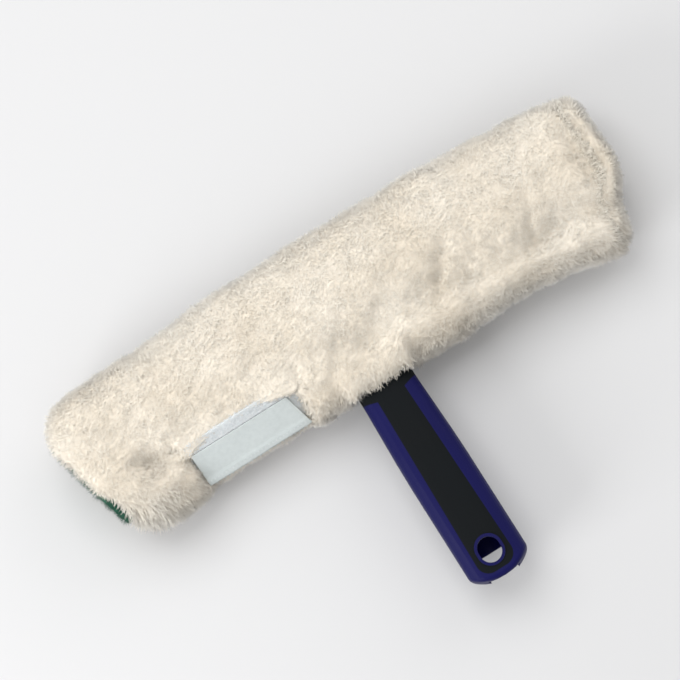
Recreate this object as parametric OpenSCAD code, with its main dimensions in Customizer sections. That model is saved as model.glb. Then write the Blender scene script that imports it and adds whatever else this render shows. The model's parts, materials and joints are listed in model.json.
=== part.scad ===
// Window washer: a fleece sleeve on a moulded T-bar with a two-part handle.
// The bar lies along X, the handle points to -Y and the sleeve's tab side faces +Z.

/* [Sleeve] */
// Length over the pile
sleeve_length = 357; // [300:1:440]
// How far the sleeve sits off the bar's middle, towards the pad
sleeve_offset = 1; // [0:0.5:3]
// Room from the crossbar's long edges to the edge of the pile
side_room = 23.5; // [20:0.5:30]
// Room from the crossbar's faces to the top of the pile
face_room = 14; // [12:0.5:18]
// How far the pile rounds over at both ends
end_round = 18; // [10:1:24]
// Share of that rounding that the thin side takes
end_round_thin = 0.35; // [0.3:0.05:0.6]
// Rounding of the right end's corner away from the handle
far_round = 9; // [6:1:18]
// How much narrower the left end is than the middle
left_narrow = 5; // [0:0.5:8]
// Slope of the left end, sideways per unit towards the handle
left_slope = 0.34; // [0:0.02:0.4]
// How far the right end's lower part is tucked in
right_tuck = 12; // [0:1:14]
// How far the right arm's lower edge is drawn up before its end
right_lift = 5; // [0:0.5:7]
// Sag of the right end below the bar's line
right_sag = 11; // [0:1:12]
// Depth of the crease where the fleece is pulled in beside the neck
crease_depth = 3.5; // [0:0.5:5]
// Distance of the crease from the bar's line
crease_offset = 25; // [15:1:32]
// Thickness of the fleece piece that closes the right end
end_panel_thickness = 12; // [8:1:16]
// Room from the crossbar's ends to the ends of the pile
end_room = 18; // [16:1:26]
// Clearance between fleece and what it is drawn over
fleece_gap = 0.3; // [0.2:0.1:0.6]

/* [Scouring pad] */
// Length of the pad across the bar
pad_length = 62; // [50:1:74]
// Width of the pad through the sleeve
pad_width = 32; // [26:1:38]
// Thickness of the pad
pad_thickness = 8; // [5:1:12]
// How far the pad stands out of the pile
pad_proud = 1.4; // [1:0.2:5]
// Lean of the pad towards the handle, in degrees
pad_lean = 14.5; // [0:0.5:20]
// Distance from the bar's line to the pad's middle
pad_drop = 7; // [0:0.5:10]

/* [Closure] */
// Length of the tab along the bar
tab_length = 68; // [50:1:80]
// Width of the tab, from its sewn edge to its free edge
tab_width = 22.5; // [18:0.5:28]
// Slant of the tab's end nearer the handle
tab_slant = 5; // [0:1:8]
// Distance of the tab's middle from the handle's line
tab_offset = 80; // [65:1:100]
// Thickness of the tab's tape
tab_thickness = 1.2; // [0.8:0.1:2]
// Thickness of the hook strip
hook_thickness = 1; // [0.8:0.1:1.6]
// Thickness of the loop strip
loop_thickness = 1.2; // [0.8:0.1:2]
// Width of loop strip that shows above the tab
loop_margin = 7; // [3:0.5:10]
// Lean of the tab on the sleeve's rounded edge
tab_lean = 38; // [25:1:50]
// Thickness of the binding on the slit's lips
binding_thickness = 1; // [0.6:0.1:1.4]

/* [Crossbar] */
// Width of the crossbar
bar_width = 50; // [44:1:60]
// Thickness of the crossbar
bar_thickness = 24; // [22:1:28]
// Radius of the crossbar's corners
bar_corner = 16; // [8:1:20]
// Wall of the moulding
bar_wall = 2.4; // [1.8:0.1:3]
// Thickness of the cross ribs
rib_wall = 1.8; // [1.4:0.1:2.4]
// Number of water pockets on each arm
pocket_count = 6; // [4:1:8]
// Diameter of the weep holes
weep_d = 7; // [4:0.5:9]
// Width of the hub that takes the handle
hub_width = 38; // [34:1:46]
// Distance from the hub's mouth to the bar's line
hub_reach = 40.5; // [34:0.5:60]
// Wall of the hub above and below the handle's spigot
hub_wall = 3; // [2.4:0.1:4]

/* [Handle] */
// Length from the handle's end to its shoulder
handle_length = 136; // [110:1:170]
// Width over the palm
handle_width = 38; // [34:0.5:44]
// Width at the neck
neck_width = 34.6; // [30:0.2:38]
// Depth over the palm
handle_depth = 27.4; // [26.4:0.2:32]
// How far the neck stands proud of the hub, above and below
neck_step = 0.2; // [0:0.1:1]
// How far the middle of the end bulges
end_bulge = 7.2; // [0:0.2:10]
// Rounding of the end's edges
end_fillet = 2.6; // [1:0.2:4]
// Width of the spigot that enters the hub
spigot_width = 26; // [20:0.5:30]
// Length of the spigot
spigot_length = 40; // [30:1:48]
// Clearance of the spigot in its socket
spigot_gap = 0.2; // [0.1:0.05:0.4]

/* [Pole socket and hanging hole] */
// Diameter of the pole socket
socket_d = 21; // [18:0.2:22]
// Depth of the pole socket
socket_depth = 60; // [40:1:70]
// Width of the notch in the mouth's back wall
notch_width = 18; // [12:0.5:20]
// Depth of that notch
notch_depth = 16.5; // [12:0.5:18]
// Width of the hanging hole
hole_width = 12.9; // [8:0.1:14]
// Length of the hanging hole
hole_length = 15; // [9:0.5:20]
// Distance from the handle's end to the hanging hole
hole_margin = 9; // [6:0.5:14]
// Width of the rim around the hanging hole
rim_width = 1.7; // [1:0.1:2.5]
// Height of that rim above the palm
rim_height = 0.5; // [0.2:0.1:1]

/* [Grip] */
// Thickness of the rubber
grip_thickness = 1.4; // [1:0.1:1.6]
// Length of the collar from its lower edge to the shoulder
collar_length = 16; // [10:1:24]
// Width of the front and back panels at the collar
panel_top_width = 17.7; // [14:0.1:22]
// Width of the panels at the palm
panel_width = 22.5; // [20:0.5:26]
// Corner radius of the panels' lower end
panel_corner = 7.5; // [4:0.5:10]
// Distance from the handle's end to the front panel
panel_margin = 4.4; // [3:0.2:6]
// Distance from the notch to the back panel
back_margin = 7; // [5:1:14]

/* [Screws] */
// Shank diameter of the hub screws
screw_d = 3.5; // [3:0.5:4]
// Length of the screws below the head
screw_length = 13; // [10:1:16]
// Head diameter
head_d = 6.6; // [6:0.2:8]
// Head height
head_height = 1.6; // [1.2:0.1:2]
// Distance between the two screws
screw_spacing = 16; // [12:1:20]

/* [Hidden] */
$fn = 48;

// Places in the frame: the origin is under the middle of the whole washer
sleeve_width = bar_width + 2 * side_room;
sleeve_thickness = bar_thickness + 2 * face_room;
neck_depth = bar_thickness + 2 * neck_step;
handle_reach = handle_length + hub_reach;
overall = handle_reach + sleeve_width / 2;
end_y = -overall / 2;
bar_y = end_y + handle_reach;
mid_z = sleeve_thickness / 2;
shoulder_y = end_y + handle_length;
over = 1;

// Crossbar
bar_length = sleeve_length - 2 * end_room;
spigot_depth = bar_thickness - 2 * (hub_wall + spigot_gap);
pocket_span = bar_length / 2 - bar_wall - hub_width / 2;
pocket_pitch = pocket_span / pocket_count;
slot_length = 9;
slot_height = 4;
slot_rise = (bar_thickness + bar_wall) / 4;
edge_round = 0.6 * bar_wall;
hub_fillet = 4;
hub_round = 6;
hub_gap = 0.2;

// Sleeve
flat_cut = 0.5;
pile_power = 2.5;
left_break = 0.29 * sleeve_width / 2;
right_break = -3;
tuck_reach = 20;
sag_start = 20;
sag_power = 1.6;
narrow_start = sleeve_length / 8;
narrow_run = sleeve_length / 4;
lift_start = sleeve_length / 9;
lift_run = sleeve_length / 6;
lobe_run = 16;
lift_end = sleeve_length / 2 - 3 * lobe_run;
crease_width = 5;
crease_start = 20;
crease_fade = 30;
sleeve_points = 40;
inner_rings = 14;
cavity_thickness = bar_thickness + 2 * fleece_gap;
cavity_width = bar_width + 2 * (hub_fillet + 1);
cavity_shift = -1;
cavity_slack = 2;
cavity_round = 6;

// Closure
hinge_y = bar_y - sleeve_width / 2 + 4.1;
hinge_z = mid_z + 3;
tab_start = 2;
tab_gap = 0.3;
lip_gap = 0.3;
slit_z = hinge_z - 2;
slit_overrun = 7;
lip_height = 6;
loop_side = 1.5;

// Handle
palm_length = 70;
handle_points = 40;
body_power = 3;
mouth_chamfer = 1;
deep_socket_d = 17;
deep_socket_length = 34;
bulge_reach = 60;
core_depth = 9;
core_length = 34;
rounding_steps = [0, 0.06, 0.25, 0.55, 1];
pilot_gap = 0.05;
head_gap = 0.3;

// Rounded power of a cosine or sine, for a squarish oval
function oval(value, power) = sign(value) * pow(abs(value), 2 / power);

// How far an edge of this radius has drawn in at a distance from the end
function drawn_in(distance, radius) =
    distance >= radius ? 0 : radius - sqrt(radius * radius - pow(radius - distance, 2));

// Smooth step from 0 to 1
function ease(value) =
    let (v = min(1, max(0, value))) v * v * (3 - 2 * v);

// Solid through a list of rings, each closed at its ends by strips between mirrored points
module loft(rings) {
    n = len(rings[0]);
    last = len(rings) - 1;
    sides = [
        for (i = [0:last - 1], k = [0:n - 1])
            let (a = i * n + k, b = i * n + (k + 1) % n)
                each [[a, b, b + n], [a, b + n, a + n]]
    ];
    first_cap = [
        for (k = [0:n / 2 - 1])
            let (a = k, b = k + 1, c = (n - k - 1) % n, d = (n - k) % n)
                each [if (b != c) [c, b, a], if (a != d) [d, c, a]]
    ];
    last_cap = [
        for (f = first_cap)
            [for (k = [2:-1:0]) f[k] + last * n]
    ];
    polyhedron(points = [for (r = rings) each r], faces = concat(sides, first_cap, last_cap));
}

// Rectangle with round ends, along Y, exact arcs
module slot_2d(width, length) {
    square([width, length - width], center = true);
    for (s = [-1, 1])
        translate([0, s * (length - width) / 2])
            circle(d = width);
}

// Rectangle with round corners, exact arcs
module rounded_2d(width, height, radius) {
    square([width - 2 * radius, height], center = true);
    square([width, height - 2 * radius], center = true);
    for (sx = [-1, 1], sy = [-1, 1])
        translate([sx * (width / 2 - radius), sy * (height / 2 - radius)])
            circle(r = radius);
}

// Sleeve outline

// Shift that allows for the pad's corner standing out on the left
pad_corner = left_slope * max(0, left_break + pad_drop)
    - pad_proud * cos(pad_lean) - pad_length / 2 * sin(pad_lean);
sleeve_shift = max(0, -pad_corner) / 2 - sleeve_offset;

function left_end(y) = sleeve_shift - sleeve_length / 2 + left_slope * max(0, left_break - y);
function right_end(y) =
    sleeve_shift + sleeve_length / 2 - right_tuck * ease((right_break - y) / tuck_reach);
function sag(x) =
    right_sag * pow(max(0, (x - sag_start) / (sleeve_length / 2 - sag_start)), sag_power);

// Half width of the sleeve at a place, away from the handle and towards it
function far_half(x) = sleeve_width / 2 - left_narrow * ease((-x - narrow_start) / narrow_run);
function near_half(x) =
    sleeve_width / 2 - right_lift * ease((x - lift_start) / lift_run) * (1 - ease((x - lift_end) / lobe_run));

// Depth of the crease at a place on the front face
function crease(x, y) =
    crease_depth * ease((x - crease_start) / crease_fade)
    * exp(-pow((y + crease_offset + sag(x)) / crease_width, 2));

// One ring of the sleeve, at a share of its length
function sleeve_ring(share) =
    let (
        x_mid = (share - 0.5) * sleeve_length,
        distance = min(share, 1 - share) * sleeve_length,
        draw = drawn_in(distance, end_round),
        far_draw = share > 0.5 ? drawn_in(distance, far_round) : draw,
        half_t = mid_z + flat_cut - draw * end_round_thin
    )
    [
        for (k = [0:sleeve_points - 1])
            let (
                angle = 360 * k / sleeve_points,
                half_w = cos(angle) > 0 ? far_half(x_mid) - far_draw : near_half(x_mid) - draw,
                y = half_w * oval(cos(angle), pile_power),
                z_raw = half_t * oval(sin(angle), pile_power),
                z = z_raw > 0 ? z_raw - crease(x_mid, y - sag(x_mid)) : max(z_raw, -mid_z),
                x = left_end(y) + share * (right_end(y) - left_end(y))
            )
            [x, bar_y + y - sag(x_mid), mid_z + z]
    ];

end_shares = [for (s = [0, 0.08, 0.25, 0.6, 1]) s * end_round / sleeve_length];
panel_share = 1 - end_panel_thickness / sleeve_length;
tube_shares = concat(
    end_shares,
    [for (i = [1:inner_rings]) end_shares[4] + i * (1 - 2 * end_shares[4]) / inner_rings],
    [panel_share]
);
panel_shares = concat([panel_share], [for (i = [2:-1:0]) 1 - end_shares[i]]);

// Box in the tab's own plane: along its slope, across it and through it
module on_tab(start, width, low, high, x_low, x_high) {
    translate([0, hinge_y, hinge_z])
        rotate([tab_lean, 0, 0])
            translate([x_low, start, low])
                cube([x_high - x_low, width, high - low]);
}

tab_left = -tab_offset - tab_length / 2;
tab_right = -tab_offset + tab_length / 2;
hook_low = -tab_thickness / 2 - hook_thickness;
loop_high = hook_low - tab_gap;
loop_low = loop_high - loop_thickness;
slit_left = tab_left - slit_overrun;
slit_half = binding_thickness + tab_gap / 2;
lip_y = hinge_y + tab_thickness / 2;
lip_top = hinge_z - tab_thickness / 2 - lip_gap / 3;
cavity_y = bar_y + cavity_shift - cavity_width / 2;

// Space that the crossbar fills inside the fleece
module cavity() {
    translate([-bar_length / 2 - cavity_slack, bar_y + cavity_shift, mid_z])
        rotate([0, 90, 0])
            linear_extrude(height = sleeve_length)
                rounded_2d(cavity_thickness, cavity_width, cavity_round);
}

// Opening where the neck passes through the fleece
module neck_opening() {
    width = max(hub_width, neck_width) + 2 * fleece_gap;
    depth = max(bar_thickness, neck_depth) + 2 * fleece_gap;
    length = sleeve_width / 2 + end_round;
    translate([0, bar_y - length, mid_z])
        rotate([-90, 0, 0])
            linear_extrude(height = length)
                rounded_2d(width, depth, hub_round);
}

// Scouring pad's own solid, grown for its seat
module pad_body(grow, proud) {
    translate([left_end(-pad_drop), bar_y - pad_drop, mid_z])
        rotate([0, 0, pad_lean])
            translate([-proud, 0, 0])
                rotate([0, 90, 0])
                    linear_extrude(height = pad_thickness + proud - pad_proud)
                        slot_2d(pad_width + 2 * grow, pad_length + 2 * grow);
}

module fleece_tube() {
    color("antiquewhite")
        difference() {
            loft([for (s = tube_shares) sleeve_ring(s)]);
            cavity();
            neck_opening();
            pad_body(fleece_gap, pad_proud + end_round);
            slit();
            tab_seat();
        }
}

// Slit from beside the tab to the neck
module slit() {
    translate([slit_left, cavity_y - sleeve_width / 2, slit_z - slit_half])
        cube([-slit_left, sleeve_width / 2 + over, 2 * slit_half]);
}

// Place of a point in the tab's plane: along its slope and through it
function tab_point(along, through) = [
    hinge_y + along * cos(tab_lean) - through * sin(tab_lean),
    hinge_z + along * sin(tab_lean) + through * cos(tab_lean)
];

// Pile that is pressed flat under the tab and trimmed along its fold
module tab_seat() {
    trim = lip_y + binding_thickness + tab_gap / 2;
    fold = (trim - hinge_y + loop_low * sin(tab_lean)) / cos(tab_lean);
    top = tab_width + loop_margin + tab_gap;
    left = tab_left - loop_side - tab_gap;
    right = tab_right + loop_side + tab_gap;
    translate([left, 0, 0])
        rotate([90, 0, 90])
            linear_extrude(height = right - left)
                polygon([
                    [trim, -over], tab_point(fold, loop_low), tab_point(top, loop_low),
                    tab_point(top, 2 * end_round), [hinge_y - 2 * end_round, 2 * sleeve_thickness],
                    [hinge_y - 2 * end_round, -over]
                ]);
}

module end_panel() {
    color("bisque")
        loft([for (s = panel_shares) sleeve_ring(s)]);
}

module scrub_pad() {
    color("darkgreen")
        pad_body(0, pad_proud);
}

module slit_binding() {
    back = cavity_y;
    color("gainsboro") {
        translate([slit_left + tab_gap, lip_y, slit_z - binding_thickness - tab_gap / 4])
            cube([tab_right - slit_left, back - lip_y, binding_thickness]);
        translate([tab_left, lip_y, slit_z - lip_height])
            cube([tab_length, binding_thickness, lip_top - slit_z + lip_height]);
        translate([slit_left + tab_gap, lip_y + binding_thickness + tab_gap, slit_z + tab_gap / 4])
            cube([tab_right - slit_left, back - lip_y - binding_thickness - tab_gap, binding_thickness]);
    }
}

module loop_strip() {
    color("aliceblue")
        on_tab(
            tab_start + over, tab_width + loop_margin - tab_start - over, loop_low, loop_high,
            tab_left - loop_side, tab_right + loop_side
        );
}

module closure_tab() {
    color("lightsteelblue")
        translate([0, hinge_y, hinge_z])
            rotate([tab_lean, 0, 0])
                linear_extrude(height = tab_thickness, center = true)
                    polygon([
                        [tab_left, 0], [tab_right, 0],
                        [tab_right - tab_slant, tab_width], [tab_left, tab_width]
                    ]);
}

module hook_strip() {
    color("whitesmoke")
        on_tab(
            tab_start, tab_width - 2 * tab_start, hook_low, -tab_thickness / 2,
            tab_left + tab_start, tab_right - tab_slant - tab_start
        );
}

// Crossbar

// Plan of the bar with its round corners
module bar_plan() {
    translate([0, bar_y])
        rounded_2d(bar_length, bar_width, bar_corner);
}

// Plan of the fillets where the hub leaves the bar
module hub_fillets() {
    low = bar_y - bar_width / 2;
    width = hub_fillet + hub_round;
    for (s = [-1, 1])
        difference() {
            translate([s * (hub_width / 2 + hub_fillet - width / 2), low - hub_fillet / 2 + over / 2])
                square([width, hub_fillet + over], center = true);
            translate([s * (hub_width / 2 + hub_fillet), low - hub_fillet])
                circle(r = hub_fillet);
        }
}

// Hub's outer body, from its mouth to just short of the bar's far wall
module hub_body() {
    mouth = shoulder_y + hub_gap;
    translate([0, mouth, mid_z])
        rotate([-90, 0, 0])
            linear_extrude(height = bar_y + bar_width / 2 - 2 * bar_wall - mouth)
                rounded_2d(hub_width, bar_thickness, hub_round);
}

// Cross-section of the bar, which rounds its long edges
module bar_section() {
    translate([0, bar_y, mid_z])
        rotate([0, 90, 0])
            linear_extrude(height = bar_length + 2 * over, center = true)
                rounded_2d(bar_thickness, bar_width, edge_round);
}

// Water pockets of one arm on one face, with the weep hole in each
module pockets(side) {
    inner_w = bar_width - 2 * bar_wall;
    for (i = [0:pocket_count - 1]) {
        x = side * (hub_width / 2 + (i + 0.5) * pocket_pitch);
        length = pocket_pitch - rib_wall;
        last_round = i == pocket_count - 1 ? bar_corner - bar_wall : bar_wall;
        translate([x, bar_y])
            rounded_pocket(length, inner_w, last_round, side);
    }
}

// Pocket outline with large corners on its outer side only
module rounded_pocket(length, width, radius, side) {
    small = bar_wall;
    translate([-side * radius / 2, 0])
        rounded_2d(length - radius, width, small);
    translate([side * (length / 2 - radius), 0])
        square([2 * radius, width - 2 * radius], center = true);
    for (s = [-1, 1])
        translate([side * (length / 2 - radius), s * (width / 2 - radius)])
            circle(r = radius);
}

// Weep holes through the web and slots through both long walls
module weeps() {
    for (side = [-1, 1], i = [0:pocket_count - 1]) {
        x = side * (hub_width / 2 + (i + 0.5) * pocket_pitch);
        for (s = [-1, 1])
            translate([x, bar_y + s * bar_width / 5, mid_z - bar_wall])
                cylinder(d = weep_d, h = 2 * bar_wall);
        if (i < pocket_count - 1)
            for (s = [-1, 1], t = [-1, 1])
                translate([x, bar_y + s * (bar_width - bar_wall) / 2, mid_z + t * slot_rise])
                    cube([slot_length, bar_wall + 2 * over, slot_height], center = true);
    }
}

// Two screws' places along the hub
module at_screws() {
    middle = (shoulder_y + hub_gap + shoulder_y + spigot_length) / 2;
    for (s = [-1, 1])
        translate([0, middle + s * screw_spacing / 2, mid_z - bar_thickness / 2])
            children();
}

module crossbar() {
    color("dimgray")
        difference() {
            union() {
                intersection() {
                    linear_extrude(height = sleeve_thickness)
                        bar_plan();
                    bar_section();
                }
                hub_body();
                translate([0, 0, mid_z - bar_thickness / 2 + hub_round + over / 2])
                    linear_extrude(height = bar_thickness - 2 * hub_round - over)
                        hub_fillets();
            }
            for (side = [-1, 1]) {
                translate([0, 0, mid_z + bar_wall / 2])
                    linear_extrude(height = bar_thickness)
                        pockets(side);
                translate([0, 0, mid_z - bar_wall / 2 - bar_thickness])
                    linear_extrude(height = bar_thickness)
                        pockets(side);
            }
            weeps();
            hub_socket();
            at_screws()
                translate([0, 0, -over])
                    cylinder(d = screw_d + 2 * pilot_gap, h = bar_thickness / 2);
            at_screws()
                translate([0, 0, -over])
                    cylinder(d = head_d + 2 * head_gap, h = head_height + over);
        }
}

// Socket in the hub that takes the spigot
module hub_socket() {
    depth = spigot_length + spigot_gap + hub_gap;
    translate([-spigot_width / 2 - spigot_gap, shoulder_y, mid_z - spigot_depth / 2 - spigot_gap])
        cube([spigot_width + 2 * spigot_gap, depth, spigot_depth + 2 * spigot_gap]);
}

module hub_screws() {
    color("silver")
        at_screws() {
            cylinder(d = head_d, h = head_height);
            translate([0, 0, head_height])
                cylinder(d = screw_d, h = screw_length - screw_d / 2);
            translate([0, 0, head_height + screw_length - screw_d / 2])
                cylinder(d1 = screw_d, d2 = screw_d / 4, h = screw_d / 2);
        }
}

// Handle

function taper(h) = ease((h - palm_length) / (handle_length - palm_length));
function half_width(h) = handle_width / 2 - (handle_width - neck_width) / 2 * taper(h);
function half_depth(h) = handle_depth / 2 - (handle_depth - neck_depth) / 2 * taper(h);

// One ring of the handle, at a distance from its end, drawn in by an inset
function handle_ring(h, inset) =
    let (
        draw = drawn_in(max(0, h - inset), end_fillet),
        half_w = half_width(h) - inset - draw,
        half_d = half_depth(h) - inset - draw,
        bulge = end_bulge * max(0, 1 - h / bulge_reach)
    )
    [
        for (k = [0:handle_points - 1])
            let (
                angle = 360 * k / handle_points,
                x = half_w * oval(cos(angle), body_power),
                z = half_d * oval(sin(angle), body_power)
            )
            [x, end_y + h + bulge * pow(x / (handle_width / 2), 2), mid_z + z]
    ];

// Handle's outer body, or the core under the rubber
module handle_body(inset) {
    start = [for (s = rounding_steps) inset + s * end_fillet];
    run = [for (h = [10, 30, 50, palm_length]) h];
    slope = [for (s = [0.25, 0.5, 0.75, 1]) palm_length + s * (handle_length - palm_length)];
    loft([for (h = concat(start, run, slope)) handle_ring(h, inset)]);
}

// Plan of one rubber panel, from its round lower end up into the collar
module panel_plan(low) {
    top = shoulder_y - collar_length;
    straight = low + panel_corner;
    half_low = panel_width / 2;
    half_top = panel_top_width / 2;
    polygon([
        [-half_low, straight], [half_low, straight],
        [half_top, top + over], [-half_top, top + over]
    ]);
    for (s = [-1, 1])
        translate([s * (half_low - panel_corner), straight])
            circle(r = panel_corner);
    translate([-half_low + panel_corner, low])
        square([panel_width - 2 * panel_corner, panel_corner + over]);
}

// Plan of the collar, whose lower edge rises towards the sides
module collar_plan() {
    low = shoulder_y - collar_length;
    half_top = panel_top_width / 2;
    rise = 0.35 * (handle_width - half_top);
    polygon([
        [-half_top, low], [half_top, low], [handle_width, low + rise],
        [handle_width, shoulder_y + over], [-handle_width, shoulder_y + over],
        [-handle_width, low + rise]
    ]);
}

// Where the rubber lies: round the neck, on the front and on the back
module rubber_zone() {
    linear_extrude(height = sleeve_thickness)
        collar_plan();
    difference() {
        translate([0, 0, mid_z])
            linear_extrude(height = mid_z)
                panel_plan(end_y + panel_margin);
        translate([0, end_y + hole_margin + hole_length / 2, 0])
            linear_extrude(height = sleeve_thickness)
                slot_2d(hole_width + 2 * rim_width, hole_length + 2 * rim_width);
    }
    linear_extrude(height = mid_z)
        panel_plan(end_y + notch_depth + back_margin);
}

module soft_grip() {
    color([0.11, 0.12, 0.14])
        intersection() {
            handle_body(0);
            difference() {
                rubber_zone();
                handle_body(grip_thickness);
            }
        }
}

module handle_shell() {
    color([0.14, 0.13, 0.42])
        difference() {
            union() {
                difference() {
                    handle_body(0);
                    difference() {
                        rubber_zone();
                        handle_body(grip_thickness);
                    }
                }
                hole_rim();
                spigot();
            }
            hanging_hole();
            pole_socket();
            spigot_core();
            at_screws()
                cylinder(d = screw_d + 2 * pilot_gap, h = head_height + screw_length + over);
        }
}

// Raised rim round the hanging hole
module hole_rim() {
    translate([0, end_y + hole_margin + hole_length / 2, mid_z + socket_d / 2 - over])
        linear_extrude(height = handle_depth / 2 + rim_height - socket_d / 2 + over)
            slot_2d(hole_width + 2 * rim_width, hole_length + 2 * rim_width);
}

module hanging_hole() {
    translate([0, end_y + hole_margin + hole_length / 2, mid_z])
        linear_extrude(height = handle_depth)
            slot_2d(hole_width, hole_length);
}

// Pole socket with its chamfered mouth, deeper taper and the notch in its back wall
module pole_socket() {
    translate([0, end_y - over, mid_z])
        rotate([-90, 0, 0])
            rotate_extrude()
                polygon([
                    [0, 0], [socket_d / 2 + mouth_chamfer + over, 0],
                    [socket_d / 2, over + mouth_chamfer], [socket_d / 2, over + socket_depth],
                    [deep_socket_d / 2, over + socket_depth],
                    [deep_socket_d / 2, over + socket_depth + deep_socket_length],
                    [0, over + socket_depth + deep_socket_length + deep_socket_d / 4]
                ]);
    translate([-notch_width / 2, end_y - over, 0])
        cube([notch_width, notch_depth + over, mid_z - socket_d / 5]);
}

// Spigot that enters the hub
module spigot() {
    translate([-spigot_width / 2, shoulder_y - over, mid_z - spigot_depth / 2])
        cube([spigot_width, spigot_length + over, spigot_depth]);
}

// Two cored pockets that keep the spigot's walls even, either side of the screw web
module spigot_core() {
    web = 2 * screw_d + 2;
    width = (spigot_width - web) / 2 - bar_wall;
    for (s = [-1, 1])
        translate([s * (web / 2 + width / 2) - width / 2, shoulder_y + spigot_length - core_length, mid_z - core_depth / 2])
            cube([width, core_length + over, core_depth]);
}

crossbar();
handle_shell();
soft_grip();
hub_screws();
fleece_tube();
end_panel();
scrub_pad();
slit_binding();
loop_strip();
closure_tab();
hook_strip();
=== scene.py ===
import json
import math
import bpy
import bmesh
import numpy as np
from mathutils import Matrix, Quaternion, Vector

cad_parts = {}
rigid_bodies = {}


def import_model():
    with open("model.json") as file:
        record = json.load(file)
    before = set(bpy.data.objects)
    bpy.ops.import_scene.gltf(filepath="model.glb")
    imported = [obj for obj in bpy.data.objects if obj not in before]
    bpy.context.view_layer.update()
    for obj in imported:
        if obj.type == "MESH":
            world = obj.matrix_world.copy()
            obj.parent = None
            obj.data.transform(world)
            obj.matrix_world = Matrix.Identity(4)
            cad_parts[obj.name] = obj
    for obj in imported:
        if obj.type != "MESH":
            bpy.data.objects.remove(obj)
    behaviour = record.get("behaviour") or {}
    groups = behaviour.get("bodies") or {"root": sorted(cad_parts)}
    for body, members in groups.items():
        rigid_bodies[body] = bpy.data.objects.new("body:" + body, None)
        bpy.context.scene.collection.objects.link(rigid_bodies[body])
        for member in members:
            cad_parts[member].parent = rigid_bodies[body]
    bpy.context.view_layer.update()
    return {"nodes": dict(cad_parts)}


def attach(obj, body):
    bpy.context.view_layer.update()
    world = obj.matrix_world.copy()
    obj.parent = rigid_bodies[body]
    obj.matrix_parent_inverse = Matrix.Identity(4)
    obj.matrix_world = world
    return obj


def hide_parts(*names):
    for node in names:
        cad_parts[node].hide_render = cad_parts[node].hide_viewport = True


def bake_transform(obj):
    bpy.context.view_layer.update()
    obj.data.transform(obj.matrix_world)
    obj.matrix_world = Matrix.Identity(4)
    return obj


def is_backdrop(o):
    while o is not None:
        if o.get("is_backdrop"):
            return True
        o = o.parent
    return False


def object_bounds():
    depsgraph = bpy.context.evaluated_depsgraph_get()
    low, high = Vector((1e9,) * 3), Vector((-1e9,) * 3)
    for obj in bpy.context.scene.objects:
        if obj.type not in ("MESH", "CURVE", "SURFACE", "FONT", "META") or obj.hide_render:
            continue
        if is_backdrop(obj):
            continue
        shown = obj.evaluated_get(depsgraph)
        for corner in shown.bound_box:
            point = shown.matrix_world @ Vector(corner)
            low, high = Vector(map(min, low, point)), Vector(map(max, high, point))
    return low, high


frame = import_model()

scene = bpy.context.scene
for extra in [o for o in scene.objects if o.name in ("Cube", "Light", "Camera")]:
    bpy.data.objects.remove(extra)


def deselectAll():
    if bpy.context.object and bpy.context.object.mode != "OBJECT":
        bpy.ops.object.mode_set(mode="OBJECT")
    bpy.ops.object.select_all(action="DESELECT")


def pick(obj):
    deselectAll()
    obj.select_set(True)
    bpy.context.view_layer.objects.active = obj
    return obj


def placeMesh(obj, location=(0, 0, 0), turn=(0, 0, 0)):
    pick(obj)
    obj.location, obj.rotation_euler = Vector(location) + obj.location, turn
    bpy.ops.object.transform_apply(location=True, rotation=True, scale=True)
    return obj


def applyModifier(obj, name, kind, **settings):
    change = obj.modifiers.new(name, kind)
    for key, value in settings.items():
        setattr(change, key, value)
    pick(obj)
    bpy.ops.object.modifier_apply(modifier=name)


def joinPieces(name, parts):
    deselectAll()
    for part in parts:
        part.select_set(True)
    bpy.context.view_layer.objects.active = parts[0]
    bpy.ops.object.join()
    parts[0].name = name
    return parts[0]


def points(obj):
    co = np.empty(len(obj.data.vertices) * 3, np.float32)
    obj.data.vertices.foreach_get("co", co)
    return co.reshape(-1, 3).astype(float)


def setPoints(obj, co):
    obj.data.vertices.foreach_set("co", co.astype(np.float32).ravel())
    obj.data.update()


def pointNormals(obj):
    normals = np.empty(len(obj.data.vertices) * 3, np.float32)
    obj.data.vertices.foreach_get("normal", normals)
    return normals.reshape(-1, 3).astype(float)


def setAttribute(obj, name, values):
    values = np.asarray(values, np.float32)
    kind, key = ("FLOAT", "value") if values.ndim == 1 else ("FLOAT_VECTOR", "vector")
    attribute = obj.data.attributes.get(name) or obj.data.attributes.new(name, kind, "POINT")
    attribute.data.foreach_set(key, values.ravel())


def ease(value):
    v = np.clip(value, 0, 1)
    return v * v * (3 - 2 * v)


# Camera: above the washer, tipped a little towards the handle's end, and rolled
camera = {"distance": 1.65, "elevation": 80, "roll": 32.3,
          "target": (-0.0081, 0.0505, 0.03), "width": 0.3856}


def addCamera():
    s = camera
    e = math.radians(s["elevation"])
    back = Vector((0, -math.cos(e), math.sin(e)))
    bpy.ops.object.camera_add(location=Vector(s["target"]) + back * s["distance"])
    cam = bpy.context.object
    cam.name = "photoCamera"
    cam.data.sensor_width = 36
    cam.data.lens = 36 * s["distance"] / s["width"]
    cam.rotation_mode = "QUATERNION"
    turn = (-back).to_track_quat("-Z", "Y")
    cam.rotation_quaternion = turn @ Quaternion((0, 0, 1), -math.radians(s["roll"]))
    cam.data.clip_start, cam.data.clip_end = 0.05, 20
    scene.camera = cam


studio = {"floor": (0.66, 0.66, 0.665), "world": 0.66,
          "key": {"place": (-0.15, 0.75, 1.50), "power": 14, "size": 1.3},
          "right": {"place": (1.20, 0.55, 0.85), "power": 3.5, "size": 1.0},
          "left": {"place": (-1.15, -0.25, 0.55), "power": 8.5, "size": 0.6}}


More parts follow.
